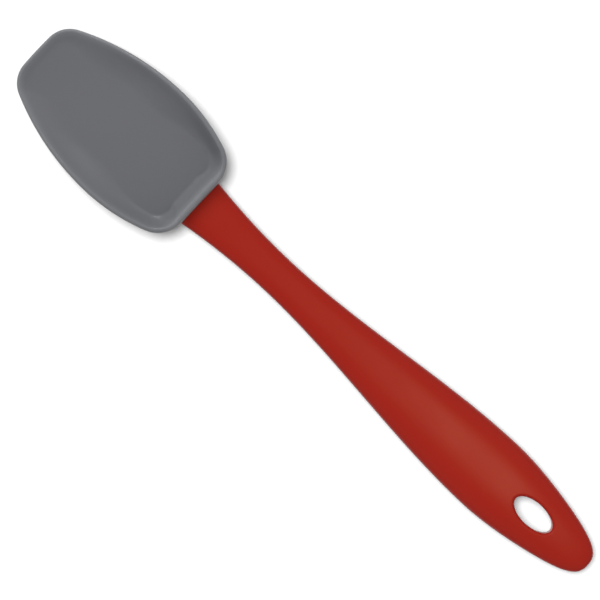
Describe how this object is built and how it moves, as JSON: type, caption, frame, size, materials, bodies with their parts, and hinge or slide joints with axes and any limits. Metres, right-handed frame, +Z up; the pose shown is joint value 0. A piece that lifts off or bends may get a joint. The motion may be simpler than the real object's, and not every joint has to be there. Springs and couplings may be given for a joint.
{
  "type": "silicone spoon",
  "caption": "Kitchen spoon with a dished grey silicone head that pushes onto the flat tang of a red plastic handle with a narrow waist, a full grip and an oval hanging hole.",
  "frame": {"origin": "middle of the overall length, on the centre line, on the surface that the spoon rests on", "axes": "+X from the end of the handle to the tip of the head, +Y across, +Z up out of the hollow side"},
  "size_m": [0.26, 0.0476, 0.0128],
  "materials": {
    "silicone": "matt moulded silicone",
    "handle_plastic": "satin polypropylene"
  },
  "bodies": {
    "handle": {"handle": "handle_plastic"},
    "head": {"spoon_head": "silicone"}
  },
  "joints": [
    {"name": "head_pull_off", "type": "slide", "parent": "handle", "child": "head", "axis": [1, 0, 0], "range_m": [0, 0.045]}
  ]
}
